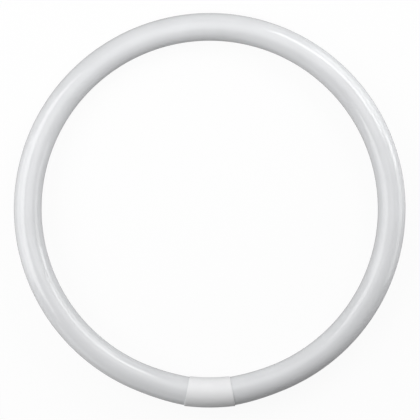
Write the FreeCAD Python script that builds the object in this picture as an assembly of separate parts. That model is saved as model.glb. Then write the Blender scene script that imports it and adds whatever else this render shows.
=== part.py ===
import FreeCAD, Part
import math
import os
from FreeCAD import Placement, Rotation, Vector

# Circular fluorescent lamp, in millimetres. The ring lies flat round the Z axis, its cap is
# at -Y, and its front faces up. The origin is on the ring's axis, level with the pin tips.

# Glass ring
ring_outer_d = 406.4      # across the glass, 16 in
tube_d = 28.6             # the tube once it is bent, 1 1/8 in
end_growth = 1.0          # wider than that beside the cap, where bending didn't draw it thinner
bend_end_angle = 23.0     # degrees from the cap's middle to where the bend opens out
bend_opening = 58.0       # how much flatter the centre line is from there on, as a radius
flare_sections = 6        # sections along the stretch where the tube grows wider

# Glass ends, inside the cap
end_depth = 12.0          # from the cap's rim to the sealed edge
shoulder_start = 1.5      # from the rim to where the glass starts to narrow
shoulder_length = 5.5
neck_step = 3.0           # from the tube's side in to the neck
seal_round = 3.0          # outside of the sealed edge
seal_land = 0.9           # flat of the sealed edge, round the hollow stem's mouth
stem_narrowing = 0.6      # width of the stem's bottom against its mouth
stem_depth = 7.5
exhaust_d = 4.4           # stub of the tube that the air was pumped out through
exhaust_tip = 1.0         # how far its sealed tip stays below the sealed edge
exhaust_taper = 1.6       # height of the tip, which melts down to half the width

# Cap
cap_length = 47.4         # along its centre line's chord
cap_wall = 1.5
lip_wall = 0.65           # cap's wall at the rim, round the full width of the glass
glass_gap = 0.15          # between the cap and the glass all round
rim_chamfer = 0.3
collar_width = 1.5        # ribs that hold the necks
rib_width = 1.2           # webs between the pins and across the shells
rib_height = 11.0         # cross web, above the cavity's lowest line
divider_height = 3.5      # web between the two pins of a pair, measured the same way
root = 0.3                # how far inner ribs run into the wall that carries them

# Seam between the cap's two shells, in the plane of the ring
seam_gap = 0.1
step_inset = 0.85         # from the cap's side to the front shell's step
step_height = 1.0
step_gap = 0.1

# Snap hooks of the front shell
hook_spacing = 14.0       # between the two hooks on one side
hook_width = 4.5
hook_thickness = 1.1
hook_reach = 5.2          # below the seam
hook_root_height = 6.0    # above the seam
hook_barb = 0.7
hook_barb_height = 1.6
hook_gap = 0.15

# Pin platform on the back shell
platform_margin = 4.0     # from a pin's side to the platform's edge
platform_rise = 1.2       # above the cap's round back
platform_corner = 3.0
platform_chamfer = 0.4    # round its face
boss_wall = 1.1           # round each pin, inside
boss_height = 2.6

# Contact pins
pin_spacing_x = 7.92      # along the tube
pin_spacing_y = 6.35      # across the tube
pin_d = 2.35
pin_length = 7.0          # clear of the platform
pin_wall = 0.4
shank_step = 0.2          # how much thicker, each side, the pin is where it is pressed in
shank_lead = 0.4          # height of the slope that leads the shank into its hole
pin_tip_taper = 0.35      # how far the tip is drawn in, in two slopes
pin_flange_width = 0.5    # beyond the shank's side
pin_flange_height = 0.6
pin_fit = 0.01            # between a pin and its hole, all round

# Lead wires
wire_d = 0.6
wire_gap = 0.08           # in the hole at the pin's tip
wire_spacing = 6.6        # between the two wires of one glass end
wire_drop = 4.0           # straight down onto the pin
wire_bend_r = 3.0

tube_r = tube_d / 2
end_tube_r = tube_r + end_growth / 2
neck_r = end_tube_r - neck_step
mouth_r = neck_r - seal_round - seal_land
exhaust_r = exhaust_d / 2
pin_r = pin_d / 2
shank_r = pin_r + shank_step
wire_r = wire_d / 2
ring_r = (ring_outer_d - tube_d) / 2
end_bend_r = ring_r + bend_opening
cap_r = end_tube_r + glass_gap + lip_wall
cavity_r = cap_r - cap_wall
ring_z = pin_length + platform_rise + cap_r
platform_z = pin_length
boss_z = platform_z + cap_wall + boss_height
reach = 2 * cap_r

# Direction of the tube's centre line at the cap's rim, in degrees from X
end_bend_centre_x = -bend_opening * math.sin(math.radians(bend_end_angle))
rim_angle = math.degrees(math.asin((cap_length / 2 - end_bend_centre_x) / end_bend_r))

UP = Vector(0, 0, 1)
LENGTHWISE = Vector(1, 0, 0)
ORIGIN = Vector(0, 0, 0)


def on_ring(radius, angle):
    """Point in the ring's plane, at an angle from the cap's middle towards +X."""
    a = math.radians(angle)
    return Vector(radius * math.sin(a), -radius * math.cos(a), ring_z)


def across_end(angle):
    """Where the +X end's centre line runs at this angle: Z along it to the tip, X up."""
    a = math.radians(angle)
    from_centre = Vector(math.sin(a), -math.cos(a), 0)
    heading = Vector(-math.cos(a), -math.sin(a), 0)
    point = on_ring(-bend_opening, bend_end_angle) + from_centre * end_bend_r
    return Placement(point, Rotation(UP, heading.cross(UP), heading, "ZXY"))


rim = across_end(rim_angle)
seal = rim.multVec(UP * end_depth)
cap_ring_r = math.hypot(rim.Base.x, rim.Base.y)
neck_room_r = cavity_r - (math.hypot(seal.x, seal.y) - cap_ring_r)
cavity_half = seal.x + seal_round
cavity_shift = (cap_ring_r - math.sqrt(cap_ring_r ** 2 - cavity_half ** 2)) / 2


def mirrored(shape):
    """The same shape on the other side of the cap's middle."""
    return shape.mirror(ORIGIN, LENGTHWISE)


def line(a, b):
    return Part.makeLine(a, b)


def arc(centre, radius, start, end, u, v):
    """Arc about a centre from one angle to another, in the plane of u and v."""
    def at(angle):
        a = math.radians(angle)
        return centre + u * (radius * math.cos(a)) + v * (radius * math.sin(a))
    return Part.Arc(at(start), at((start + end) / 2), at(end)).toShape()


def solid_of(shape):
    """One clean solid from the result of a cut or a fuse."""
    return shape.removeSplitter().Solids[0]


def turned(edges):
    """Solid turned about Z from an outline of edges in the XZ plane."""
    return Part.Face(Part.Wire(edges)).revolve(ORIGIN, UP, 360)


def outline(*points):
    """Closed outline through points given as distance from the axis and height along it."""
    corners = [LENGTHWISE * r + UP * z for r, z in points]
    return [line(a, b) for a, b in zip(corners, corners[1:] + corners[:1])]


def glass_tip():
    """The +X end from the rim on: shoulder, neck, sealed edge and hollow stem."""
    x, z = LENGTHWISE, UP
    edge_r = neck_r - seal_round
    round_z = end_depth - seal_round
    stem_z = end_depth - stem_depth
    tip_z = end_depth - exhaust_tip
    neck = outline((0, 0), (end_tube_r, 0), (end_tube_r, shoulder_start),
                   (neck_r, shoulder_start + shoulder_length), (neck_r, round_z))[:-1]
    sealed_edge = arc(x * edge_r + z * round_z, seal_round, 0, 90, x, z)
    stem = outline((edge_r, end_depth), (mouth_r, end_depth), (mouth_r * stem_narrowing, stem_z),
                   (exhaust_r, stem_z), (exhaust_r, tip_z - exhaust_taper),
                   (exhaust_r / 2, tip_z), (0, tip_z), (0, 0))[:-1]
    return turned(neck + [sealed_edge] + stem)


def glass_room():
    """What the cap leaves free for both glass ends: their outside, plus the gap."""
    wide = end_tube_r + glass_gap
    narrow = neck_r + glass_gap
    end = end_depth + glass_gap
    room = turned(outline((0, -reach), (wide, -reach), (wide, shoulder_start),
                          (narrow, shoulder_start + shoulder_length), (narrow, end), (0, end)))
    room.Placement = rim
    return [room, mirrored(room)]


def glass_flare():
    """Stretch beside the cap where the bend opens and the tube grows to its full width."""
    sections = []
    for i in range(flare_sections):
        along = i / (flare_sections - 1)
        growth = along * along * (3 - 2 * along)
        circle = Part.Wire(Part.makeCircle(tube_r + (end_tube_r - tube_r) * growth))
        circle.Placement = across_end(bend_end_angle + (rim_angle - bend_end_angle) * along)
        sections.append(circle)
    return Part.makeLoft(sections, True, False)


def glass_tube():
    section = Part.Face(Part.Wire(Part.makeCircle(tube_r, on_ring(ring_r, 0), LENGTHWISE)))
    section.rotate(ORIGIN, UP, bend_end_angle)
    body = section.revolve(ORIGIN, UP, 360 - 2 * bend_end_angle)
    tip = glass_tip()
    tip.Placement = rim
    flare = glass_flare()
    return solid_of(body.fuse([flare, tip, mirrored(flare), mirrored(tip)]))


def cap_bar():
    """Solid round bar along the cap's curved centre line, from rim to rim."""
    sweep = 2 * math.degrees(math.asin((cap_length / 2 + cap_r) / cap_ring_r))
    section = Part.Face(Part.Wire(Part.makeCircle(cap_r, on_ring(cap_ring_r, 0), LENGTHWISE)))
    section.rotate(ORIGIN, UP, -sweep / 2)
    return section.revolve(ORIGIN, UP, sweep).common(between_rims())


def between_rims():
    """Everything between the planes of the cap's two rims, which stand square to the glass."""
    down = UP * -reach
    inner = rim.multVec(Vector(0, reach, 0)) + down
    outer = rim.multVec(Vector(0, -reach, 0)) + down
    corners = [inner, outer, Vector(-outer.x, outer.y, outer.z), Vector(-inner.x, inner.y, inner.z)]
    return Part.Face(Part.makePolygon(corners + [inner])).extrude(UP * (2 * reach))


def slab(size_x, size_y, low, high, centre_x=0.0, centre_offset=0.0):
    """Upright block in the cap, its offset measured outwards from the cap's centre line."""
    corner = Vector(centre_x - size_x / 2, -cap_ring_r - centre_offset - size_y / 2, low)
    return Part.makeBox(size_x, size_y, high - low, corner)


def level(low, high):
    """Everything in the cap between two heights, measured from the plane of the ring."""
    return slab(4 * reach, 4 * reach, ring_z + low, ring_z + high)


def cap_cavity(margin=0.0):
    """The cap's hollow, wider by a margin: a straight middle and a bore round each neck."""
    start = Vector(-cavity_half, -cap_ring_r + cavity_shift, ring_z)
    middle = Part.makeCylinder(cavity_r + margin, 2 * cavity_half, start, LENGTHWISE)
    bore_start = shoulder_start + shoulder_length / 2
    bore = Part.makeCylinder(neck_room_r + margin, end_depth - bore_start, UP * bore_start, UP)
    bore.Placement = rim
    return middle.fuse([bore, mirrored(bore)])


def collars():
    """Ribs that hold both glass necks, before the necks' own room is cut."""
    place = end_depth - seal_round - collar_width
    collar = Part.makeCylinder(cap_r, collar_width, UP * place, UP)
    collar.Placement = rim
    return [collar, mirrored(collar)]


def rim_cutters():
    """Rings that take the sharp outer corner off both rims."""
    chamfer = min(rim_chamfer, lip_wall / 2)
    cutter = turned(outline((cap_r - 2 * chamfer, -chamfer), (cap_r + chamfer, -chamfer),
                            (cap_r + chamfer, 2 * chamfer)))
    cutter.Placement = rim
    return [cutter, mirrored(cutter)]


def seam_step(gap):
    """The layer just below the seam that the front shell's step fills, wider by a gap."""
    inset = step_inset - gap
    depth = step_height + gap
    layer = Part.makeCylinder(cap_ring_r + cap_r - inset, depth, UP * (ring_z - depth))
    hole = Part.makeCylinder(cap_ring_r - cap_r + inset, depth, UP * (ring_z - depth))
    return layer.cut(hole).common(between_rims())


def hook_places():
    """X and side of each hook: two along the cap's outer edge and two along its inner edge."""
    return [(x, side) for x in (-hook_spacing / 2, hook_spacing / 2) for side in (1, -1)]


hook_bottom = ring_z - hook_reach
hook_outer = math.sqrt(cavity_r ** 2 - hook_reach ** 2) - hook_gap


def hook(x, side):
    """Springy tongue down past the seam, with a barb that faces the back shell's wall."""
    top = ring_z + hook_root_height
    high = hook_bottom + hook_barb_height
    profile = [(hook_outer - hook_thickness, hook_bottom), (hook_outer - hook_thickness, top),
               (hook_outer, top), (hook_outer, high), (hook_outer + hook_barb, high),
               (hook_outer + hook_barb, hook_bottom + hook_barb), (hook_outer, hook_bottom)]
    middle_y = -cap_ring_r + cavity_shift
    corners = [Vector(x - hook_width / 2, middle_y - side * out, z) for out, z in profile]
    return Part.Face(Part.makePolygon(corners + corners[:1])).extrude(LENGTHWISE * hook_width)


def hook_pocket(x, side):
    """Undercut in the back shell's wall that a hook's barb snaps into."""
    depth = hook_barb + 2 * hook_gap
    middle = side * (hook_outer + depth / 2 - hook_gap) - cavity_shift
    low = hook_bottom - hook_gap
    high = hook_bottom + hook_barb_height + hook_gap
    return slab(hook_width + 2 * hook_gap, depth, low, high, x, middle)


def hook_root(x, side):
    """Block that joins a hook to the front shell's wall."""
    width = cap_r - hook_outer + hook_thickness
    middle = side * (hook_outer - hook_thickness + width / 2) - cavity_shift
    return slab(hook_width, width, ring_z + step_height, ring_z + hook_root_height, x, middle)


def cap_front_shell():
    wall = cap_bar().common(level(0, reach)).fuse(seam_step(0)).cut(cap_cavity())
    wall = wall.cut(rim_cutters())
    web = slab(rib_width, 2 * reach, ring_z + cavity_r - rib_height, ring_z + reach)
    roots = [hook_root(x, side) for x, side in hook_places()]
    ribs = web.fuse(collars() + roots).common(cap_cavity(root)).common(level(0, reach))
    hooks = [hook(x, side) for x, side in hook_places()]
    return solid_of(wall.fuse([ribs] + hooks).cut(glass_room()))


def rounded_block(size_x, size_y, corner, low, high):
    """Upright block with rounded corners on the cap's back."""
    block = slab(size_x, size_y, low, high)
    upright = [e for e in block.Edges if abs(e.tangentAt(e.FirstParameter).z) > 0.5]
    return block.makeFillet(corner, upright)


def pin_places():
    """X and Y of each pin, the -X pair first."""
    return [(x, -cap_ring_r + y)
            for x in (-pin_spacing_x / 2, pin_spacing_x / 2)
            for y in (-pin_spacing_y / 2, pin_spacing_y / 2)]


def pin_platform(inset, corner, low, high):
    """The platform's outline drawn in by an inset, from one height to another."""
    size_x = pin_spacing_x + pin_d + 2 * (platform_margin - inset)
    size_y = pin_spacing_y + pin_d + 2 * (platform_margin - inset)
    return rounded_block(size_x, size_y, corner, low, high)


def cap_back_shell():
    floor_z = platform_z + cap_wall
    platform = pin_platform(0, platform_corner, platform_z, ring_z - cavity_r / 2)
    face_edges = [e for e in platform.Edges if e.BoundBox.ZMax < floor_z]
    platform = platform.makeChamfer(platform_chamfer, face_edges)
    cored = pin_platform(cap_wall, platform_corner - cap_wall, floor_z, ring_z)
    wall = cap_bar().common(level(-reach, -seam_gap)).cut(seam_step(step_gap))
    wall = wall.fuse(platform).cut([cap_cavity(), cored]).cut(rim_cutters())

    lowest = ring_z - cavity_r
    cross_web = slab(rib_width, 2 * reach, 0, lowest + rib_height)
    divider = slab(pin_spacing_x + 2 * (shank_r + boss_wall), rib_width, 0, lowest + divider_height)
    floor_room = pin_platform(cap_wall - root, platform_corner - cap_wall, floor_z - root, ring_z)
    ribs = cross_web.fuse([divider] + collars()).common(cap_cavity(root).fuse(floor_room))
    ribs = ribs.common(level(-reach, -step_height - step_gap))
    bosses = [Part.makeCylinder(shank_r + boss_wall, boss_z - floor_z + root,
                                Vector(x, y, floor_z - root)) for x, y in pin_places()]

    holes = [Part.makeCylinder(shank_r + pin_fit, ring_z, Vector(x, y, 0))
             for x, y in pin_places()]
    pockets = [hook_pocket(x, side) for x, side in hook_places()]
    return solid_of(wall.fuse([ribs] + bosses).cut(holes + pockets + glass_room()))


def contact_pin(x, y):
    """Hollow pin: pierced tapered tip, thicker shank in the shell, flange on its boss."""
    bore_r = pin_r - pin_wall
    hole_r = wire_r + wire_gap
    flange_r = shank_r + pin_flange_width
    top_z = boss_z + pin_flange_height
    steep, slight = pin_r - pin_tip_taper, pin_r - pin_tip_taper / 3
    pin = turned(outline((hole_r, 0), (steep, 0), (slight, pin_tip_taper / 2),
                         (pin_r, 3 * pin_tip_taper / 2), (pin_r, platform_z),
                         (shank_r, platform_z + shank_lead), (shank_r, boss_z), (flange_r, boss_z),
                         (flange_r, top_z), (bore_r, top_z), (bore_r, pin_wall),
                         (hole_r, pin_wall)))
    pin.translate(Vector(x, y, 0))
    return pin


def wire_along(points):
    """Round wire along straight runs, with an arc of the wire's bend radius at each corner."""
    edges = []
    start = points[0]
    for before, corner, after in zip(points, points[1:], points[2:]):
        back = (before - corner).normalize()
        on = (after - corner).normalize()
        half = back.getAngle(on) / 2
        tangent = wire_bend_r / math.tan(half)
        middle_line = (back + on).normalize()
        nearest = wire_bend_r / math.sin(half) - wire_bend_r
        first, last = corner + back * tangent, corner + on * tangent
        edges.append(line(start, first))
        edges.append(Part.Arc(first, corner + middle_line * nearest, last).toShape())
        start = last
    edges.append(line(start, points[-1]))
    heading = points[1] - points[0]
    section = Part.Wire(Part.makeCircle(wire_r, points[0], heading))
    return Part.Wire(edges).makePipeShell([section], True, False), sum(e.Length for e in edges)


def lead_wire(x, y):
    """Wire from the hollow stem of the nearer glass end, down through its pin to the tip."""
    towards_centre = math.copysign(wire_spacing / 2, y + cap_ring_r)
    stem = rim.multVec(Vector(0, towards_centre, end_depth - stem_depth))
    above_pin = Vector(abs(x), y, boss_z + pin_flange_height + wire_drop)
    sunk = stem + (stem - above_pin).normalize() * wire_d
    wire, length = wire_along([sunk, above_pin, Vector(abs(x), y, 0)])
    print("lead wire length", round(length, 2), "volume against section x length",
          round(wire.Volume / (math.pi * wire_r ** 2 * length), 4))
    glass = Part.makeCylinder(neck_r, end_depth, UP * -stem_depth, UP)
    glass.Placement = rim
    wire = wire.cut(glass)
    return wire if x > 0 else mirrored(wire)


def main():
    os.makedirs("parts", exist_ok=True)
    pieces = {
        "glass_tube": glass_tube(),
        "cap_front_shell": cap_front_shell(),
        "cap_back_shell": cap_back_shell(),
    }
    for number, (x, y) in enumerate(pin_places(), 1):
        pieces[f"contact_pin_{number}"] = contact_pin(x, y)
        pieces[f"lead_wire_{number}"] = lead_wire(x, y)
    for name, shape in pieces.items():
        box = shape.BoundBox
        print(name, "valid", shape.isValid(), "solids", len(shape.Solids),
              "volume", round(shape.Volume, 1),
              "z", round(box.ZMin, 2), round(box.ZMax, 2))
        shape.exportStep(f"parts/{name}.step")


main()
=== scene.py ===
# %% [markdown]
# # A circular fluorescent lamp
# The object is one glass tube bent to a ring. Its two ends meet in a moulded plastic cap, and
# four hollow pins on the back of the cap carry the current. The lamp lies on a pale table with
# its front up, so the cap's pins are hidden and the far side of the ring touches the table.
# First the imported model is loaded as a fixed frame: it says where each piece is, in metres.

# %% Load the frame
import math

import bmesh
import bpy
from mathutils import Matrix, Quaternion, Vector


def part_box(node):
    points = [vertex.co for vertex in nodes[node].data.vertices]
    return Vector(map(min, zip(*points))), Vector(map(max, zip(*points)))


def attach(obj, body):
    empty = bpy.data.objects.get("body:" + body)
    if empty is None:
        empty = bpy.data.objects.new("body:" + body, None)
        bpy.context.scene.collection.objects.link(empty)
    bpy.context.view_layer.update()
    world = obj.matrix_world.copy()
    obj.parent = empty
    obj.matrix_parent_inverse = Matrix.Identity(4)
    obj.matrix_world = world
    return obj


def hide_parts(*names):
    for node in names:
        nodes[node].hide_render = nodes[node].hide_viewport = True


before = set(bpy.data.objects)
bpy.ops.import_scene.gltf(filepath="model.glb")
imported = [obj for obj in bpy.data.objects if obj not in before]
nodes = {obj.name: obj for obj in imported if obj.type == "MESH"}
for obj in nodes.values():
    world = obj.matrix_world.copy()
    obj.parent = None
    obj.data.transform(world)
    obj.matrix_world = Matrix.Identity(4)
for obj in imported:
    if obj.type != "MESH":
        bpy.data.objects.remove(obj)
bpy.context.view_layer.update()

# %% [markdown]
# Every piece follows from a few sizes of the lamp, written here in millimetres and turned to
# metres once. The bend of the ring stops 23 degrees short of the cap's middle. From there on
# the tube was bent and stretched less, so its centre line is flatter and it is a little
# thicker. The flatter line is an arc too. Its centre lies beyond the ring's, on the line
# through the point where they meet, so there is no kink.

# %% Sizes of the lamp
MM = 0.001
FINE = 0.001 * MM            # how closely a cut keeps to its plane
SAME = 0.002 * MM            # corners nearer to each other than this are one corner
NEAR = 0.01 * MM             # a corner this near a plane counts as lying on it
ring_r = 188.9 * MM          # centre line of the bent glass
tube_r = 14.3 * MM
end_tube_r = 14.8 * MM       # the tube where it enters the cap
bend_end = math.radians(23.0)
opening = 58.0 * MM          # how far the centre of the flatter stretch lies beyond the ring's
cap_half = 23.7 * MM         # from the cap's middle to its rim, along X
cap_r = 15.6 * MM
ring_z = 23.8 * MM           # height of the ring's plane above the pin tips

end_bend_r = ring_r + opening
end_centre = Vector((-opening * math.sin(bend_end), opening * math.cos(bend_end), ring_z))
rim_turn = math.asin((cap_half - end_centre.x) / end_bend_r)
outward = Vector((math.sin(rim_turn), -math.cos(rim_turn), 0))
inward_run = Vector((-math.cos(rim_turn), -math.sin(rim_turn), 0))
rim_point = end_centre + outward * end_bend_r
cap_line_r = math.hypot(rim_point.x, rim_point.y)
cap_middle = Vector((0, -cap_line_r, ring_z))
print("rim at", [round(v / MM, 2) for v in rim_point], "turned", round(math.degrees(rim_turn), 2))

# %% [markdown]
# Operators act on everything that is selected, and the loaded nodes arrive selected. A few
# short helpers keep one piece at a time in hand and open it for editing.


# %% Helpers for working on one piece
def only(piece):
    """Deselects everything else, so that operators act on this piece alone."""
    bpy.ops.object.select_all(action="DESELECT")
    piece.select_set(True)
    bpy.context.view_layer.objects.active = piece


def named(name):
    """Names the primitive just added and puts its place into its mesh."""
    piece = bpy.context.object
    piece.name = piece.data.name = name
    bpy.ops.object.transform_apply(location=True, rotation=True, scale=True)
    return piece


def open_mesh(piece):
    """Opens a piece for editing, with all of it selected."""
    only(piece)
    bpy.ops.object.mode_set(mode="EDIT")
    bpy.ops.mesh.select_mode(type="VERT")
    bpy.ops.mesh.select_all(action="SELECT")


def close_mesh():
    bpy.ops.object.mode_set(mode="OBJECT")


def selected_middle(piece):
    corners = [v.co for v in bmesh.from_edit_mesh(piece.data).verts if v.select]
    return sum(corners, Vector()) / len(corners)


# %% [markdown]
# ## The glass ring
# The tube could be a torus primitive, but a torus has no ends. So one circle of glass is put at
# the far side and spun round the ring's axis as far as the bend goes. Small further turns about
# the flatter stretch's own centre carry it on to the cap, each one scaled up a little. One half
# is made, and a mirror makes the other, so the two ends are sure to match.

# %% Spin half of the ring
bpy.ops.object.select_all(action="DESELECT")
bpy.ops.mesh.primitive_circle_add(
    vertices=64, radius=tube_r, location=(0, ring_r, ring_z), rotation=(0, math.pi / 2, 0))
glass = named("glass_ring")
open_mesh(glass)
bpy.ops.mesh.spin(
    steps=190, angle=math.pi - bend_end, center=(0, 0, ring_z), axis=(0, 0, 1))
print("bend ends at", [round(v / MM, 2) for v in selected_middle(glass)])

# %% [markdown]
# Along the flatter stretch the tube grows from 28.6 to 29.6 mm. The growth follows a curve that
# starts and ends level, so no ring-shaped crease shows in the reflections.


# %% Carry the tube on to the cap's rim
def eased(along):
    """Goes from 0 to 1, and starts and ends level."""
    return along * along * (3 - 2 * along)


def widen(piece, factor):
    """Scales the selected circle about its own middle."""
    bpy.ops.transform.resize(value=[factor] * 3, center_override=selected_middle(piece))


flare_steps = 16
radius = tube_r
for step in range(1, flare_steps + 1):
    bpy.ops.mesh.spin(
        steps=1, angle=(bend_end - rim_turn) / flare_steps, center=end_centre, axis=(0, 0, 1))
    grown = tube_r + (end_tube_r - tube_r) * eased(step / flare_steps)
    widen(glass, grown / radius)
    radius = grown
print("tube meets the rim at", [round(v / MM, 2) for v in selected_middle(glass)])

# %% [markdown]
# Inside the cap the glass narrows to a neck and is melted shut over a hollow stem, with the
# stub of the tube that the air was pumped out through in its middle. Nobody sees this while the
# cap is closed, but it is what the cap holds. Each step is an extrusion and a change of width,
# as on a glass lathe. The lists give the depth past the rim and the radius in millimetres.


# %% Draw a circle out along a line
def draw_out(piece, run, profile):
    """Extrudes the selected circle along a line, through depths and radii in millimetres."""
    depth, radius = profile[0]
    for next_depth, next_radius in profile[1:]:
        bpy.ops.mesh.extrude_region_move(
            TRANSFORM_OT_translate={"value": run * (next_depth - depth) * MM})
        widen(piece, next_radius / radius)
        depth, radius = next_depth, next_radius


# %% Shoulder, neck, sealed edge and stem
end_r, neck_r, seal_r = end_tube_r / MM, 11.8, 3.0
shoulder_start, shoulder_end, neck_end = 0.6, 7.6, 9.0
shoulder_steps, seal_steps = 8, 6

shoulder = [(shoulder_start + (shoulder_end - shoulder_start) * step / shoulder_steps,
             end_r - (end_r - neck_r) * eased(step / shoulder_steps))
            for step in range(1, shoulder_steps + 1)]
sealed_edge = []
for step in range(1, seal_steps + 1):
    turn = math.pi / 2 * step / seal_steps
    sealed_edge.append((neck_end + seal_r * math.sin(turn),
                        neck_r - seal_r + seal_r * math.cos(turn)))
stem = [(12.0, 7.9), (11.6, 7.5), (4.9, 5.0), (4.5, 4.6), (4.5, 2.5), (4.9, 2.2), (9.4, 2.2),
        (10.3, 1.9), (10.8, 1.4), (11.0, 0.7)]
draw_out(glass, inward_run, [(0, end_r), (shoulder_start, end_r)] + shoulder
         + [(neck_end, neck_r)] + sealed_edge + stem)
bpy.ops.mesh.edge_face_add()
close_mesh()
print("one end drawn out to", neck_end + seal_r, "mm past the rim")

# %% [markdown]
# Modifiers are applied as soon as they are set, so that a piece's mesh is always what it looks
# like. After a mirror, corners that lie together are merged, and all faces are turned outwards:
# a face that points inwards would be shaded wrongly. An edge that doesn't join exactly two
# faces is the rim of a hole or of a wall inside, so the report counts such edges.


# %% Mirror, merge and measure
def apply_modifier(piece, kind, **settings):
    """Adds a modifier, sets it and applies it at once."""
    only(piece)
    modifier = piece.modifiers.new(kind.lower(), kind)
    for key, value in settings.items():
        setattr(modifier, key, value)
    bpy.ops.object.modifier_apply(modifier=modifier.name)


def tidy_normals(piece):
    """Merges corners that lie together and points every face outwards."""
    open_mesh(piece)
    bpy.ops.mesh.remove_doubles(threshold=SAME)
    bpy.ops.mesh.select_all(action="SELECT")
    bpy.ops.mesh.normals_make_consistent(inside=False)
    close_mesh()


def mirror_half(piece, merge=True):
    """Adds the other half across the lamp's middle plane, and joins halves that meet there."""
    apply_modifier(piece, "MIRROR", use_axis=(True, False, False), use_mirror_merge=merge,
                   merge_threshold=NEAR)
    tidy_normals(piece)


def report(piece):
    """Prints a piece's faces, and how many of its edges don't join exactly two of them."""
    mesh = bmesh.new()
    mesh.from_mesh(piece.data)
    loose = sum(1 for edge in mesh.edges if len(edge.link_faces) != 2)
    volume = mesh.calc_volume(signed=True) / MM ** 3
    print(piece.name, "faces", len(mesh.faces), "open edges", loose, "mm3", round(volume, 1))
    mesh.free()


# %% Finish the glass
mirror_half(glass)
only(glass)
bpy.ops.object.shade_smooth_by_angle(angle=math.radians(40))
report(glass)

# %% [markdown]
# ## The cap
# The cap is two half shells of white plastic that snap together round the glass ends. Each
# starts as a solid half bar: half a disc, spun along the cap's curved line, cut off square to
# the glass at the rim and mirrored. Edges and faces to work on are picked by where they are,
# because their numbers change with every step.


# %% Pick edges or faces by their place
def pick(piece, kind, wanted):
    """Selects the edges or faces that pass a test of their middle and corners; counts them."""
    bpy.ops.mesh.select_mode(type=kind)
    bpy.ops.mesh.select_all(action="DESELECT")
    mesh = bmesh.from_edit_mesh(piece.data)
    count = 0
    for part in (mesh.edges if kind == "EDGE" else mesh.faces):
        corners = [v.co for v in part.verts]
        if wanted(sum(corners, Vector()) / len(corners), corners):
            part.select_set(True)
            count += 1
    mesh.select_flush_mode()
    bmesh.update_edit_mesh(piece.data)
    return count


def at_height(corners, z):
    return all(abs(c.z - z) < NEAR for c in corners)


# %% [markdown]
# Cuts with bisect count corners within 0.1 mm of the plane as lying on it unless a finer
# threshold is given. The spin's last ring lies past the rim, and the one before it is short of
# the rim by more than the small round that is made there: a ring close under the rim's edge
# would leave the round no room.

# %% Run a flat section along the cap
cap_turn = math.radians(7.6)  # from the cap's middle to a little past its rim
cap_steps = 8


def along_cap(piece):
    """Spins a section that stands at the cap's middle on to the rim, cuts and mirrors it."""
    bpy.ops.mesh.spin(steps=cap_steps, angle=-cap_turn, center=(0, 0, ring_z), axis=(0, 0, 1))
    bpy.ops.mesh.select_all(action="SELECT")
    bpy.ops.mesh.bisect(plane_co=rim_point, plane_no=-inward_run, use_fill=True,
                        clear_outer=True, threshold=FINE)
    pick(piece, "FACE", lambda middle, corners: max(abs(c.x) for c in corners) < NEAR)
    bpy.ops.mesh.delete(type="ONLY_FACE")
    close_mesh()
    mirror_half(piece)


# %% [markdown]
# The half disc's flat side has a step, so that the front shell's tongue drops into the back
# shell and the two find each other. A small round on the outer edges is made before the inside
# is cut out, while the shape is simple.


# %% Outline of a half bar, with the seam's step
def step_outline(bar, seam_z, half_width, drop):
    """Steps the middle of the outline's flat side down, all but a narrow land at each end."""
    def on_flat(middle, corners):
        return at_height(corners, seam_z)

    def middle_third(middle, corners):
        return at_height(corners, seam_z) and abs(middle.y + cap_line_r) < NEAR

    bpy.ops.mesh.select_all(action="SELECT")
    bpy.ops.mesh.delete(type="ONLY_FACE")
    pick(bar, "EDGE", on_flat)
    bpy.ops.mesh.subdivide(number_cuts=2)
    pick(bar, "EDGE", middle_third)
    reach = max(v.co.y for v in bmesh.from_edit_mesh(bar.data).verts if v.select) + cap_line_r
    bpy.ops.transform.resize(value=(1, half_width / reach, 1),
                             center_override=selected_middle(bar))
    bpy.ops.mesh.extrude_region_move(TRANSFORM_OT_translate={"value": (0, 0, -drop)})
    pick(bar, "EDGE", middle_third)
    bpy.ops.mesh.delete(type="EDGE")
    bpy.ops.mesh.select_all(action="SELECT")
    bpy.ops.mesh.edge_face_add()


# %% Half bar of the cap
rim_round, seam_round = 0.35 * MM, 0.12 * MM
step_half, step_drop = 14.75 * MM, 1.0 * MM
shell_gap = 0.1 * MM
outer_r = cap_r - 0.2 * MM    # edges farther out than this are outer edges


def on_rim_circle(middle, corners):
    """True for edges of the rim's outer circle."""
    centre = Vector((math.copysign(rim_point.x, middle.x), rim_point.y, rim_point.z))
    past = [(rim_point - Vector((abs(c.x), c.y, c.z))).dot(inward_run) for c in corners]
    return max(map(abs, past)) < NEAR and (middle - centre).length > outer_r


def half_bar(name, side, seam_z, half_width):
    """Half of the cap's bar, above the seam (side 1) or below it (side -1)."""
    bpy.ops.object.select_all(action="DESELECT")
    bpy.ops.mesh.primitive_circle_add(
        vertices=96, radius=cap_r, location=cap_middle, rotation=(0, math.pi / 2, 0),
        fill_type="NGON")
    bar = named(name)
    open_mesh(bar)
    bpy.ops.mesh.bisect(plane_co=(0, 0, seam_z), plane_no=(0, 0, -side), clear_outer=True,
                        threshold=FINE)
    step_outline(bar, seam_z, half_width, step_drop)
    bpy.ops.mesh.select_all(action="SELECT")
    along_cap(bar)

    open_mesh(bar)
    rims = pick(bar, "EDGE", on_rim_circle)
    bpy.ops.mesh.bevel(offset=rim_round, segments=4, affect="EDGES")
    seams = pick(bar, "EDGE", lambda middle, corners: at_height(corners, seam_z)
                 and abs(math.hypot(middle.x, middle.y) - cap_line_r) > outer_r)
    bpy.ops.mesh.bevel(offset=seam_round, segments=2, affect="EDGES")
    close_mesh()
    print(name, "rim edges", rims, "seam edges", seams)
    report(bar)
    return bar


front = half_bar("cap_front", 1, ring_z, step_half)
back = half_bar("cap_back", -1, ring_z - shell_gap, step_half + shell_gap)

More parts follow.
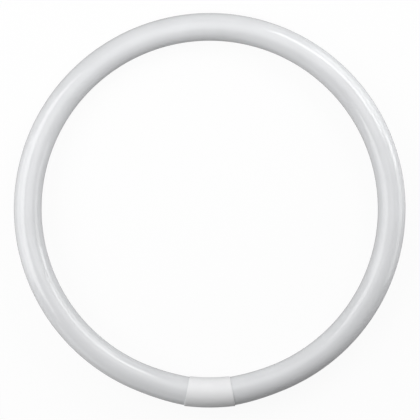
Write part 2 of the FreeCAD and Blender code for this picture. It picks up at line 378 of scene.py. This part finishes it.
# %% [markdown]
# What is inside the shells is cut or joined with boolean modifiers, from simple tools. They are
# kept in one place: a cylinder along any line, an upright block, and a shape drawn out along
# the glass end's own line at both rims. Each tool goes into the piece and is removed.


# %% Tools for the inside
def turned_to(run, sides):
    """Rotation from Z to a line, with half a side's turn so that no corner lies in the seam."""
    half_side = Quaternion(run, math.pi / sides)
    return (half_side @ Vector((0, 0, 1)).rotation_difference(run)).to_euler()


def cylinder(name, radius, start, end, sides):
    bpy.ops.object.select_all(action="DESELECT")
    run = end - start
    bpy.ops.mesh.primitive_cylinder_add(
        vertices=sides, radius=radius, depth=run.length, location=(start + end) / 2,
        rotation=turned_to(run, sides))
    return named(name)


def block(name, low, high):
    bpy.ops.object.select_all(action="DESELECT")
    bpy.ops.mesh.primitive_cube_add(size=1, location=(low + high) / 2, scale=high - low)
    return named(name)


def at_both_rims(name, profile, sides=64):
    """Closed round shape along the glass ends' line, from depths and radii past the rim."""
    depth, radius = profile[0]
    bpy.ops.object.select_all(action="DESELECT")
    bpy.ops.mesh.primitive_circle_add(
        vertices=sides, radius=radius * MM, location=rim_point + inward_run * depth * MM,
        rotation=turned_to(inward_run, sides), fill_type="NGON")
    shape = named(name)
    open_mesh(shape)
    draw_out(shape, inward_run, profile)
    close_mesh()
    mirror_half(shape, merge=False)
    return shape


def cut_level(piece, z, keep):
    """Cuts a piece at a height and keeps what is above (1) or below (-1)."""
    open_mesh(piece)
    bpy.ops.mesh.bisect(plane_co=(0, 0, z), plane_no=(0, 0, -keep), use_fill=True,
                        clear_outer=True, threshold=FINE)
    close_mesh()
    return piece


def combine(piece, how, *tools):
    """Cuts (DIFFERENCE) or joins (UNION) tools with a piece, one after another."""
    for tool in tools:
        apply_modifier(piece, "BOOLEAN", operation=how, solver="EXACT", object=tool)
        bpy.data.objects.remove(tool)


# %% [markdown]
# The shells leave room for the glass ends with a gap all round, and for a straight core between
# them. Thin collars are left standing in the necks' bores: they are what grips the glass. What
# is joined to a wall starts a little way inside it, so that the two surely overlap. Values that
# go into a profile are in millimetres, as the profile is.

# %% Shapes that both shells share
line_shift = 0.292 * MM      # the straight core's line lies this far inside the cap's curve
core_y = -cap_line_r + line_shift
core_r, core_half = 14.1 * MM, 14.9 * MM
web_half = 0.6 * MM
root = 0.3 * MM              # how deep an added piece stands in the wall that carries it
air = 0.15                   # between the glass and the shells, for a profile
bore_r = 12.955
collar_r = bore_r + root / MM


def on_core_line(name, radius, half_length):
    """Cylinder along the core's line, with its middle at the cap's."""
    return cylinder(name, radius, Vector((-half_length, core_y, ring_z)),
                    Vector((half_length, core_y, ring_z)), sides=96)


def core():
    return on_core_line("core", core_r, core_half)


def neck_bores():
    return at_both_rims("bores", [(4.25, bore_r), (12.0, bore_r)])


def glass_room():
    end = neck_end + seal_r + air
    return at_both_rims("room", [(-6, end_r + air), (1.5, end_r + air), (7.0, neck_r + air),
                                 (end, neck_r + air)])


def collars(z, keep):
    return cut_level(at_both_rims("collars", [(7.5, collar_r), (9.0, collar_r)]), z, keep)


def web(z, keep):
    """Upright wall across the middle of a shell."""
    return cut_level(on_core_line("web", core_r + root, web_half), z, keep)


# %% [markdown]
# ### Snap hooks
# Four springy tongues reach down from the front shell. Each ends in a barb that snaps into a
# pocket of the back shell. A tongue starts as a block: a cut across it marks the barb's top,
# the face below is extruded outwards, and its lower edge is lifted to a slope that rides over
# the wall when the cap is pressed shut.

# %% Hooks and their pockets
hook_places = [(x, side) for x in (-7 * MM, 7 * MM) for side in (1, -1)]
hook_out = 12.956 * MM       # from the core's line to a hook's outer face
hook_in = hook_out - 1.1 * MM
hook_width = 4.5 * MM
hook_low, hook_high = ring_z - 5.2 * MM, ring_z + 6.0 * MM
barb_top, barb = hook_low + 1.6 * MM, 0.7 * MM
root_out, root_low = core_r + 0.1 * MM, ring_z + 1.0 * MM
pocket_gap = 0.15 * MM


def side_block(name, x, side, near, far, low, high, width):
    """Block beside the core's line, from one distance to another on the given side."""
    ys = sorted((core_y - side * near, core_y - side * far))
    return block(name, Vector((x - width / 2, ys[0], low)), Vector((x + width / 2, ys[1], high)))


def snap_hook(x, side):
    """Tongue with a barb on its outer face, which is sloped below."""
    hook = side_block("hook", x, side, hook_in, hook_out, hook_low, hook_high, hook_width)
    face_y = core_y - side * hook_out
    open_mesh(hook)
    bpy.ops.mesh.bisect(plane_co=(0, 0, barb_top), plane_no=(0, 0, 1), threshold=FINE)
    pick(hook, "FACE", lambda middle, corners:
         abs(middle.y - face_y) < NEAR and middle.z < barb_top)
    bpy.ops.mesh.extrude_region_move(TRANSFORM_OT_translate={"value": (0, -side * barb, 0)})
    pick(hook, "EDGE", lambda middle, corners:
         abs(middle.y - face_y + side * barb) < NEAR and middle.z < hook_low + NEAR)
    bpy.ops.transform.translate(value=(0, 0, barb))
    close_mesh()
    return hook


def hook_root(x, side):
    """Block that fills the space between a tongue and the wall above the seam."""
    return side_block("root", x, side, hook_in, root_out, root_low, hook_high, hook_width)


def hook_pocket(x, side):
    return side_block("pocket", x, side, hook_out - pocket_gap, hook_out + barb + pocket_gap,
                      hook_low - pocket_gap, barb_top + pocket_gap, hook_width + 2 * pocket_gap)


# %% [markdown]
# The order matters. The core and the bores are cut first, then collars, web and hooks are
# joined in, and the glass's room is cut last, so that nothing is left standing in it.

# %% Finish the front shell
web_off = 3.1 * MM           # how far both shells' webs stay from the ring's plane
combine(front, "DIFFERENCE", core(), neck_bores())
combine(front, "UNION", collars(ring_z, 1), web(ring_z + web_off, 1))
for x, side in hook_places:
    combine(front, "UNION", hook_root(x, side), snap_hook(x, side))
combine(front, "DIFFERENCE", glass_room())
tidy_normals(front)
report(front)

# %% [markdown]
# ### Back shell
# The back shell carries the current: a flat platform stands out of its round back, and inside
# it four bosses hold the pins, with webs between them so that no two wires can touch. The
# platform starts as a block whose upright edges are beveled into round corners. The hollow in
# it is the same shape, set in by the wall.

# %% Platform with its bosses and webs
pin_x, pin_y = 7.92 / 2 * MM, 6.35 / 2 * MM
pin_places = [(x, -cap_line_r + y) for x in (-pin_x, pin_x) for y in (-pin_y, pin_y)]
border, wall = 5.175 * MM, 1.5 * MM
half_x, half_y = pin_x + border, pin_y + border
corner_r, edge_round = 3.0 * MM, 0.4 * MM
platform_z = 7.0 * MM
floor_z = platform_z + wall
boss_r, boss_z = 2.475 * MM, 11.1 * MM
shank_r = 1.375 * MM         # a pin where it sits in its hole
hole_r = shank_r + 0.01 * MM


def block_round_middle(name, reach_x, reach_y, low, high):
    """Block that reaches equally far to both sides of the cap's middle."""
    return block(name, Vector((-reach_x, -cap_line_r - reach_y, low)),
                 Vector((reach_x, -cap_line_r + reach_y, high)))


def platform(name, inset, low, high, edge):
    """Block with round corners, set in by a wall, and with rounded lower edges if asked."""
    shape = block_round_middle(name, half_x - inset, half_y - inset, low, high)
    open_mesh(shape)
    pick(shape, "EDGE", lambda middle, corners: abs(corners[0].z - corners[1].z) > NEAR)
    bpy.ops.mesh.bevel(offset=corner_r - inset, segments=8, affect="EDGES")
    if edge:
        pick(shape, "EDGE", lambda middle, corners: at_height(corners, low))
        bpy.ops.mesh.bevel(offset=edge, segments=3, affect="EDGES")
    close_mesh()
    return shape


def upright(name, x, y, radius, low, high):
    return cylinder(name, radius, Vector((x, y, low)), Vector((x, y, high)), sides=48)


# %% [markdown]
# The platform is joined before the core is cut, because its block reaches up into the core's
# space. Webs, divider and bosses then start inside the wall or the floor that carries them.
# Each pin's hole goes through its boss and the floor in one cut.

# %% Finish the back shell
foot_top, divider_top = 12.0 * MM, 13.2 * MM
divider_half = 6.4 * MM
combine(back, "UNION", platform("platform", 0, platform_z, ring_z - core_r / 2, edge_round))
combine(back, "DIFFERENCE", core(), neck_bores(), platform("hollow", wall, floor_z, ring_z, 0))
combine(back, "UNION", collars(ring_z - step_drop - shell_gap, -1), web(ring_z - web_off, -1),
        block_round_middle("web_foot", web_half, half_y - wall + root, floor_z - root, foot_top),
        block_round_middle("divider", divider_half, web_half, floor_z - root, divider_top))
for x, y in pin_places:
    combine(back, "UNION", upright("boss", x, y, boss_r, floor_z - root, boss_z))
for x, y in pin_places:
    combine(back, "DIFFERENCE", upright("pin_hole", x, y, hole_r, 0, ring_z))
for x, side in hook_places:
    combine(back, "DIFFERENCE", hook_pocket(x, side))
combine(back, "DIFFERENCE", glass_room())
tidy_normals(back)
report(back)

# %% [markdown]
# ## Contact pins
# Each pin is a short hollow tube with a drawn-in tip, a thicker shank where it is pressed into
# the shell, and a flange that sits on its boss. It is turned like the stem of the glass: one
# circle is drawn out up the outside, over the flange and down the bore, and closes on itself.
# One pin is made and copied three times, each copy with its own mesh.

# %% Turn one pin and copy it
pin_r, shank, seat = 1.175, shank_r / MM, boss_z / MM
flange_r, pin_bore, tip_bore = 1.875, 0.775, 0.38
x, y = pin_places[0]
bpy.ops.object.select_all(action="DESELECT")
bpy.ops.mesh.primitive_circle_add(vertices=48, radius=tip_bore * MM, location=(x, y, 0))
first_pin = named("pin_1")
open_mesh(first_pin)
draw_out(first_pin, Vector((0, 0, 1)), [
    (0, tip_bore), (0, 0.76), (0.03, 0.86), (0.12, 0.98), (0.27, 1.09), (0.40, 1.14),
    (0.525, pin_r), (7.0, pin_r), (7.4, shank), (seat, shank), (seat, 1.8),
    (seat + 0.08, flange_r), (seat + 0.52, flange_r), (seat + 0.6, 1.8), (seat + 0.6, 0.84),
    (seat + 0.54, pin_bore), (0.4, pin_bore), (0.4, tip_bore), (0, tip_bore)])
close_mesh()
tidy_normals(first_pin)
report(first_pin)
pins = [first_pin]
for number, (next_x, next_y) in enumerate(pin_places[1:], 2):
    only(first_pin)
    bpy.ops.object.duplicate(linked=False)
    pin = bpy.context.object
    pin.location = (next_x - x, next_y - y, 0)
    bpy.ops.object.transform_apply(location=True, rotation=True, scale=True)
    pin.name = pin.data.name = f"pin_{number}"
    pins.append(pin)
print("pins", [pin.name for pin in pins])

# %% [markdown]
# Smooth shading hides the facets of the round faces, and an angle limit keeps true corners
# sharp. Each new piece then takes the place of its node and rides on the lamp's one body. The
# lead wires stay as the frame has them.

# %% Shade the pieces and tie them to the frame
for piece in [front, back] + pins:
    only(piece)
    bpy.ops.object.shade_smooth_by_angle(angle=math.radians(32))
owners = {glass: ("glass_tube", "coated_glass"), front: ("cap_front_shell", "cap_plastic"),
          back: ("cap_back_shell", "cap_plastic")}
for number, pin in enumerate(pins, 1):
    owners[pin] = (f"contact_pin_{number}", "pin_metal")
for piece, (node, slot) in owners.items():
    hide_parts(node)
    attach(piece, "root")
wires = [nodes[f"lead_wire_{number}"] for number in range(1, 5)]
print("new pieces", len(owners), "wires kept", len(wires))

# %% [markdown]
# ## Finishes
# Hardly any real surface is one even colour. One shared effect gives each finish its slow
# drift in shade and its fine grain: two noises on the piece's own coordinates, one large and
# one small. It is a node group with named inputs, so that each material sets its own sizes.

# %% Shared effect: drift and grain
uneven = bpy.data.node_groups.new("uneven_surface", "ShaderNodeTree")
for name, value in (("Drift size", 20.0), ("Grain size", 900.0)):
    socket = uneven.interface.new_socket(name, in_out="INPUT", socket_type="NodeSocketFloat")
    socket.default_value = value
for name in ("Drift", "Grain"):
    uneven.interface.new_socket(name, in_out="OUTPUT", socket_type="NodeSocketFloat")
group_in = uneven.nodes.new("NodeGroupInput")
group_out = uneven.nodes.new("NodeGroupOutput")
place = uneven.nodes.new("ShaderNodeTexCoord")
for name, detail in (("Drift", 3.0), ("Grain", 2.0)):
    noise = uneven.nodes.new("ShaderNodeTexNoise")
    noise.inputs["Detail"].default_value = detail
    noise.inputs["Roughness"].default_value = 0.55
    uneven.links.new(place.outputs["Object"], noise.inputs["Vector"])
    uneven.links.new(group_in.outputs[f"{name} size"], noise.inputs["Scale"])
    uneven.links.new(noise.outputs["Fac"], group_out.inputs[name])
print("group sockets", [item.name for item in uneven.interface.items_tree])

# %% [markdown]
# A noise seldom leaves the middle of its range. So Map Range spreads what lies from 0.3 to 0.7
# over all that a finish needs: a colour between two shades, or a roughness between two values.


# %% Helpers for a material
def new_finish(name, drift_size, grain_size):
    """A material with its node tree, its Principled shader and the shared effect in it."""
    material = bpy.data.materials.new(name)
    material.use_nodes = True
    tree = material.node_tree
    effect = tree.nodes.new("ShaderNodeGroup")
    effect.node_tree = uneven
    effect.location = (-900, 0)
    effect.inputs["Drift size"].default_value = drift_size
    effect.inputs["Grain size"].default_value = grain_size
    return material, tree, tree.nodes["Principled BSDF"], effect


def spread_value(tree, mask, low, high, start=0.3, end=0.7):
    """Value that goes from low to high while a mask goes from start to end."""
    spread = tree.nodes.new("ShaderNodeMapRange")
    spread.inputs["From Min"].default_value = start
    spread.inputs["From Max"].default_value = end
    spread.inputs["To Min"].default_value = low
    spread.inputs["To Max"].default_value = high
    tree.links.new(mask, spread.inputs["Value"])
    return spread.outputs["Result"]


def shade_between(tree, mask, dark, light, start=0.3, end=0.7):
    """Colour that goes from dark to light while a mask goes from start to end."""
    mix = tree.nodes.new("ShaderNodeMix")
    mix.data_type = "RGBA"
    mix.inputs["A"].default_value = (*dark, 1)
    mix.inputs["B"].default_value = (*light, 1)
    tree.links.new(spread_value(tree, mask, 0, 1, start, end), mix.inputs["Factor"])
    return mix.outputs["Result"]


def bump_from(tree, shader, height, distance, strength):
    """Lets a height roughen the shader's surface."""
    bump = tree.nodes.new("ShaderNodeBump")
    bump.inputs["Distance"].default_value = distance
    bump.inputs["Strength"].default_value = strength
    tree.links.new(height, bump.inputs["Height"])
    tree.links.new(bump.outputs["Normal"], shader.inputs["Normal"])


def math_node(tree, operation, *values):
    """Result of a Math node whose inputs are numbers or the outputs of other nodes."""
    node = tree.nodes.new("ShaderNodeMath")
    node.operation = operation
    for socket, value in zip(node.inputs, values):
        if isinstance(value, float):
            socket.default_value = value
        else:
            tree.links.new(value, socket)
    return node.outputs["Value"]


def dress(pieces, material):
    """Gives pieces a material in place of what they had."""
    for piece in pieces:
        piece.data.materials.clear()
        piece.data.materials.append(material)
    print(material.name, "on", [piece.name for piece in pieces])


# %% [markdown]
# ### Coated glass
# The glass itself is clear. What looks white is a dull powder baked on its inner side, so the
# surface is two things at once: a soft matt white and, over it, a hard clear gloss. The shader
# has a coat for that. The powder drifts a little in thickness, which shows as the faintest
# clouds, and its grain stays under the smooth coat.

# %% Coated glass
glass_finish, tree, shader, effect = new_finish("coated_glass", 22.0, 1600.0)
powder = shade_between(tree, effect.outputs["Drift"], (0.728, 0.736, 0.75),
                       (0.765, 0.774, 0.788))
tree.links.new(powder, shader.inputs["Base Color"])
tree.links.new(spread_value(tree, effect.outputs["Grain"], 0.6, 0.8), shader.inputs["Roughness"])
bump_from(tree, shader, effect.outputs["Grain"], 0.02 * MM, 0.35)
shader.inputs["Specular IOR Level"].default_value = 0.2
shader.inputs["Coat Weight"].default_value = 1.0
shader.inputs["Coat Roughness"].default_value = 0.08
shader.inputs["Coat IOR"].default_value = 1.52
dress([glass], glass_finish)

# %% [markdown]
# ### Cap plastic
# The cap is moulded in a heat-proof white plastic. It is whiter than the glass and has a soft
# satin shine, broken by the fine grain that the mould's spark-worked steel leaves.

# %% Cap plastic
plastic, tree, shader, effect = new_finish("cap_plastic", 60.0, 1900.0)
tone = shade_between(tree, effect.outputs["Drift"], (0.855, 0.857, 0.866), (0.88, 0.882, 0.89))
tree.links.new(tone, shader.inputs["Base Color"])
tree.links.new(spread_value(tree, effect.outputs["Grain"], 0.42, 0.58), shader.inputs["Roughness"])
bump_from(tree, shader, effect.outputs["Grain"], 0.03 * MM, 0.4)
shader.inputs["IOR"].default_value = 1.49
dress([front, back], plastic)

# %% [markdown]
# ### Pins and wires
# The pins are brass with a thin coat of nickel. Where they are pushed into sockets, the nickel
# wears at the tip and the brass shows through, so the colour follows the height of the pin and
# the worn edge is made uneven by the drift. The wires are bare drawn metal, a little duller.

# %% Plated pins
plated, tree, shader, effect = new_finish("pin_metal", 700.0, 4200.0)
height = tree.nodes.new("ShaderNodeSeparateXYZ")
where = tree.nodes.new("ShaderNodeTexCoord")
tree.links.new(where.outputs["Object"], height.inputs["Vector"])
ragged = math_node(tree, "MULTIPLY_ADD", effect.outputs["Drift"], -0.9 * MM, height.outputs["Z"])
wear = shade_between(tree, ragged, (0.70, 0.52, 0.27), (0.68, 0.66, 0.61),
                     start=-0.3 * MM, end=0.25 * MM)
tree.links.new(wear, shader.inputs["Base Color"])
tree.links.new(spread_value(tree, effect.outputs["Grain"], 0.2, 0.36), shader.inputs["Roughness"])
bump_from(tree, shader, effect.outputs["Grain"], 0.01 * MM, 0.3)
shader.inputs["Metallic"].default_value = 1.0
dress(pins, plated)

# %% Drawn wire
drawn, tree, shader, effect = new_finish("wire_metal", 500.0, 5000.0)
tone = shade_between(tree, effect.outputs["Drift"], (0.50, 0.47, 0.43), (0.62, 0.60, 0.56))
tree.links.new(tone, shader.inputs["Base Color"])
tree.links.new(spread_value(tree, effect.outputs["Grain"], 0.28, 0.45), shader.inputs["Roughness"])
shader.inputs["Metallic"].default_value = 1.0
dress(wires, drawn)

# %% [markdown]
# ## Table, light and camera
# The lamp rests on the tips of its inner pins and on the far side of the glass, so its ring is
# a little out of level with the table. The lamp stays level here, square to the camera, and the
# table takes the tilt instead.

# %% Table
tip_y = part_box("contact_pin_2")[1].y - 1.05 * MM  # from the flange's edge in to the tip's round
rise = (ring_z - tube_r) / (ring_r - tip_y)
table_tilt = math.atan(rise)
table_gap = 0.02 * MM        # a hair of air, so that no two faces lie in one another
bpy.ops.object.select_all(action="DESELECT")
bpy.ops.mesh.primitive_plane_add(size=4.0, location=(0, tip_y, -table_gap),
                                 rotation=(table_tilt, 0, 0))
table = named("table")
print("table tilt", round(math.degrees(table_tilt), 2), "degrees")

# %% [markdown]
# A table and a room that shone white on the lamp from all sides would leave it flat. So both
# are white to the camera alone, which the Light Path node tells apart. Rays from a gloss or
# through glass see a smaller share of that white, and all other rays a smaller share still.


# %% White for the camera
def seen_share(tree, direct, mirrored, otherwise):
    """One share for every ray, a second one added for gloss and glass, a third for the camera."""
    path = tree.nodes.new("ShaderNodeLightPath")
    either = math_node(tree, "MAXIMUM", path.outputs["Is Glossy Ray"],
                       path.outputs["Is Transmission Ray"])
    share = math_node(tree, "MULTIPLY_ADD", either, mirrored, otherwise)
    return math_node(tree, "MULTIPLY_ADD", path.outputs["Is Camera Ray"], direct, share)


paper = bpy.data.materials.new("table_white")
paper.use_nodes = True
tree = paper.node_tree
plain = tree.nodes.new("ShaderNodeBsdfDiffuse")
tree.links.new(seen_share(tree, 0.6, 0.0, 0.3), plain.inputs["Color"])
white = tree.nodes.new("ShaderNodeEmission")
white.inputs["Color"].default_value = (1, 1, 1, 1)
blend = tree.nodes.new("ShaderNodeMixShader")
tree.links.new(seen_share(tree, 0.93, 0.25, 0.0), blend.inputs["Fac"])
tree.links.new(plain.outputs["BSDF"], blend.inputs[1])
tree.links.new(white.outputs["Emission"], blend.inputs[2])
tree.links.new(blend.outputs["Shader"], tree.nodes["Material Output"].inputs["Surface"])
dress([table], paper)

world = bpy.data.worlds.new("room")
bpy.context.scene.world = world
world.use_nodes = True
room = world.node_tree.nodes["Background"]
room.inputs["Color"].default_value = (0.97, 0.97, 0.975, 1)
world.node_tree.links.new(seen_share(world.node_tree, 0.95, 0.15, 0.06), room.inputs["Strength"])

# %% [markdown]
# The coat on the glass mirrors each lamp as a streak along the tube. Two boxes, to the left
# and to the upper right as the camera sees them, draw the two long highlights. Four more stand
# low round the ring and lighten the tube's flanks, and a small one hangs level over the far
# side of the ring.


# %% Lamps
def softbox(name, azimuth, elevation, distance, width, height, power):
    """Area light that faces the ring, placed by compass angle from +X and by height angle."""
    data = bpy.data.lights.new(name, "AREA")
    data.shape = "RECTANGLE"
    data.size, data.size_y, data.energy = width, height, power
    lamp = bpy.data.objects.new(name, data)
    bpy.context.scene.collection.objects.link(lamp)
    around, up = math.radians(azimuth), math.radians(elevation)
    lamp.location = Vector((math.cos(around) * math.cos(up), math.sin(around) * math.cos(up),
                            math.sin(up))) * distance
    lamp.rotation_euler = lamp.location.to_track_quat("Z", "Y").to_euler()
    return lamp


softbox("left_box", 174, 44, 1.18, 1.2, 0.66, 7.5)
softbox("right_box", 47, 40, 1.25, 0.85, 0.4, 5.0)
for name, azimuth, power in (("left_fill", 180, 4.6), ("right_fill", 35, 6.0),
                             ("side_fill", 0, 4.8), ("front_fill", 240, 2.6)):
    softbox(name, azimuth, 14, 1.5, 1.2, 0.7, power)
overhead = softbox("overhead", 90, 67.4, 0.65, 0.6, 0.6, 1.2)
overhead.rotation_euler = (0, 0, 0)
print("lamps", [light.name for light in bpy.data.lights])

# %% [markdown]
# The camera looks straight down on the ring, from so far away that perspective hardly shows.
# The picture is 436 mm wide at the ring's plane, and its middle lies a little nearer to the
# cap than the ring's.

# %% Camera
distance, view_width = 1.7, 436.0 * MM
aim_x, aim_y = 0.3 * MM, -1.2 * MM
sensor = 36.0                # in millimetres, like the lens
camera_data = bpy.data.cameras.new("camera")
camera_data.sensor_width = sensor
camera_data.lens = sensor * distance / view_width
camera = bpy.data.objects.new("camera", camera_data)
bpy.context.scene.collection.objects.link(camera)
bpy.context.scene.camera = camera
camera.location = (aim_x, aim_y, ring_z + distance)
bpy.context.scene.view_settings.view_transform = "Standard"
print("lens", round(camera_data.lens, 1), "mm")
